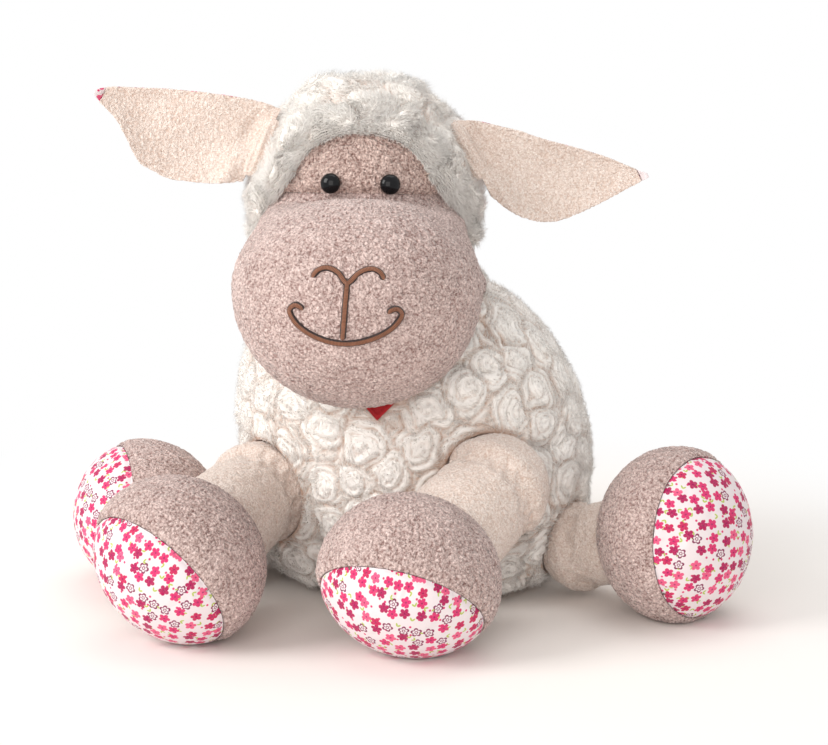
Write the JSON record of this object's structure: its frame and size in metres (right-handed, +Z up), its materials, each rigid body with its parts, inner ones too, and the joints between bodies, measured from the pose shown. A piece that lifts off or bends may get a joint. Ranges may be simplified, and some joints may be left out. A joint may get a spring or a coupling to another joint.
{
  "type": "plush sheep",
  "caption": "Sitting plush sheep with a rosette-pile body and hood, terry face, limbs and hooves, floral cotton soles and ear linings.",
  "frame": {"origin": "centre of the body's flat seat, on the floor", "axes": "+Z up, -Y the way the body faces, +X towards the sheep's own left"},
  "size_m": [0.3721, 0.3189, 0.2814],
  "materials": {
    "cream_plush": "long cream plush with rosette pile",
    "cream_terry": "short cream terry",
    "taupe_terry": "short taupe terry",
    "floral_cotton": "white cotton with a small all-over floral print",
    "filling": "loose white fibre filling",
    "black_plastic": "glossy black",
    "white_plastic": "plain white",
    "brown_thread": "brown satin stitch",
    "red_cloth": "plain red woven cloth"
  },
  "bodies": {
    "torso": {"body_cover": "cream_plush", "body_filling": "filling", "chest_tab": "red_cloth"},
    "head": {"forehead_panel": "taupe_terry", "head_filling": "filling", "hood": "cream_plush", "left_eye": "black_plastic", "left_eye_washer": "white_plastic", "mouth_stitching": "brown_thread", "muzzle_panel": "taupe_terry", "nose_stitching": "brown_thread", "right_eye": "black_plastic", "right_eye_washer": "white_plastic"},
    "left_arm": {"left_arm_filling": "filling", "left_arm_hoof_cover": "taupe_terry", "left_arm_sleeve": "cream_terry", "left_arm_sole_pad": "floral_cotton"},
    "left_ear": {"left_ear_lining": "floral_cotton", "left_ear_terry": "cream_terry"},
    "left_leg": {"left_leg_filling": "filling", "left_leg_hoof_cover": "taupe_terry", "left_leg_sleeve": "cream_terry", "left_leg_sole_pad": "floral_cotton"},
    "neck": {"neck_filling": "filling"},
    "right_arm": {"right_arm_filling": "filling", "right_arm_hoof_cover": "taupe_terry", "right_arm_sleeve": "cream_terry", "right_arm_sole_pad": "floral_cotton"},
    "right_ear": {"right_ear_lining": "floral_cotton", "right_ear_terry": "cream_terry"},
    "right_leg": {"right_leg_filling": "filling", "right_leg_hoof_cover": "taupe_terry", "right_leg_sleeve": "cream_terry", "right_leg_sole_pad": "floral_cotton"},
    "tail": {"tail_cover": "cream_plush", "tail_filling": "filling"}
  },
  "joints": [
    {"name": "neck_turn", "type": "hinge", "parent": "torso", "child": "neck", "pos_m": [-0.0225, -0.03, 0.216], "axis": [0, 0, 1], "range_deg": [-14, 12], "stiffness_Nm_per_rad": 0.4},
    {"name": "head_nod", "type": "hinge", "parent": "neck", "child": "head", "pos_m": [-0.0225, -0.03, 0.216], "axis": [0.9781, 0.2079, -0.014], "range_deg": [-12, 2], "stiffness_Nm_per_rad": 1.2, "springref_deg": -2.86},
    {"name": "left_ear_hinge", "type": "hinge", "parent": "head", "child": "left_ear", "pos_m": [0.03497, -0.03503, 0.24106], "axis": [-0.4441, -0.0944, 0.891], "range_deg": [-30, 30], "stiffness_Nm_per_rad": 0.02},
    {"name": "right_ear_hinge", "type": "hinge", "parent": "head", "child": "right_ear", "pos_m": [-0.07225, -0.05782, 0.24259], "axis": [0.4682, 0.0995, 0.878], "range_deg": [-30, 30], "stiffness_Nm_per_rad": 0.02},
    {"name": "left_arm_swing", "type": "hinge", "parent": "torso", "child": "left_arm", "pos_m": [0.06, -0.08, 0.07], "axis": [-0.7073, -0.03, 0.7063], "range_deg": [0, 28], "stiffness_Nm_per_rad": 0.2},
    {"name": "right_arm_swing", "type": "hinge", "parent": "torso", "child": "right_arm", "pos_m": [-0.0735, -0.066, 0.056], "axis": [-0.8472, 0.2093, -0.4884], "range_deg": [0, 22], "stiffness_Nm_per_rad": 0.2},
    {"name": "left_leg_swing", "type": "hinge", "parent": "torso", "child": "left_leg", "pos_m": [0.098, -0.026, 0.027], "axis": [-0.5331, -0.2615, 0.8046], "range_deg": [0, 22], "stiffness_Nm_per_rad": 0.2},
    {"name": "right_leg_swing", "type": "hinge", "parent": "torso", "child": "right_leg", "pos_m": [-0.098, -0.016, 0.027], "axis": [-0.5331, 0.2615, -0.8046], "range_deg": [0, 22], "stiffness_Nm_per_rad": 0.2},
    {"name": "tail_flop", "type": "hinge", "parent": "torso", "child": "tail", "pos_m": [0, 0.09014, 0.056], "axis": [1, 0, 0], "range_deg": [-20, 20], "stiffness_Nm_per_rad": 0.02}
  ]
}
